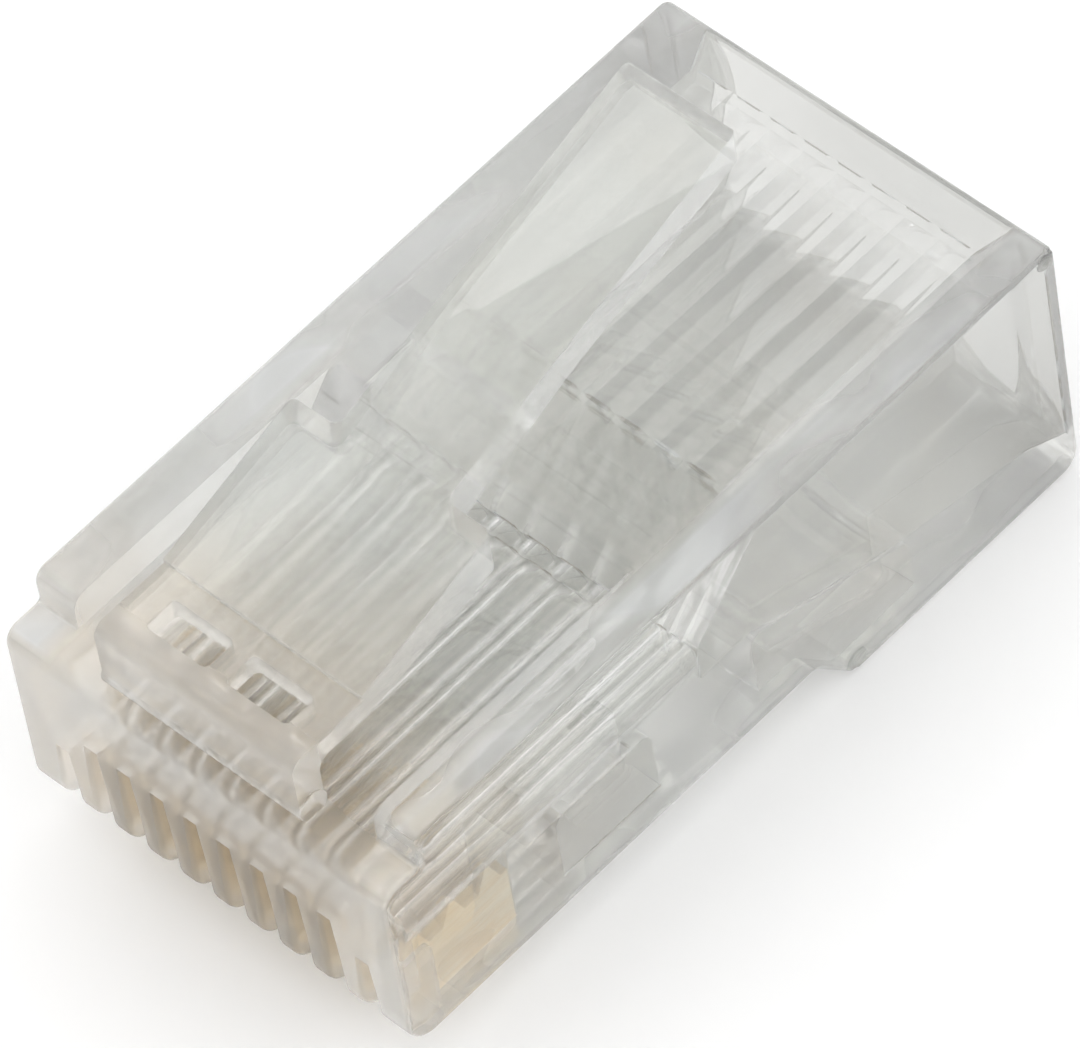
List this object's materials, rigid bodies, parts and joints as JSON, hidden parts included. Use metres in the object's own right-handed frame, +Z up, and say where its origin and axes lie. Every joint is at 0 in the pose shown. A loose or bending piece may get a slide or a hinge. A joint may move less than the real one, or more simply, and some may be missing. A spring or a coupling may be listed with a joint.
{
  "type": "rj45 modular plug",
  "caption": "Clear modular plug for a data cable, with a sprung latch above, a comb of blade contacts under the nose and a flared cable entry at the rear.",
  "frame": {"origin": "On the supporting plane, under the middle of the plug: the centre of the bottom of its bounding box.", "axes": "X runs along the plug, with the nose that enters the jack towards -X and the cable entry towards +X. Y runs across the row of contacts. Z is up, from the contact side to the latch side."},
  "size_m": [0.0218, 0.0116, 0.0136],
  "materials": {
    "clear_plastic": "clear, colourless polycarbonate, glossy as moulded, with fine flow marks and scuffs",
    "gold_plate": "thin gold plating over phosphor bronze, smooth"
  },
  "bodies": {
    "plug_body": {"housing": "clear_plastic", "contact_1": "gold_plate", "contact_2": "gold_plate", "contact_3": "gold_plate", "contact_4": "gold_plate", "contact_5": "gold_plate", "contact_6": "gold_plate", "contact_7": "gold_plate", "contact_8": "gold_plate"},
    "latch_arm": {"latch": "clear_plastic"}
  },
  "joints": [
    {"name": "latch_flex", "type": "hinge", "parent": "plug_body", "child": "latch_arm", "pos_m": [-0.01013, 0, 0.00717], "axis": [0, 1, 0], "range_deg": [0, 14], "stiffness_Nm_per_rad": 0.15}
  ]
}
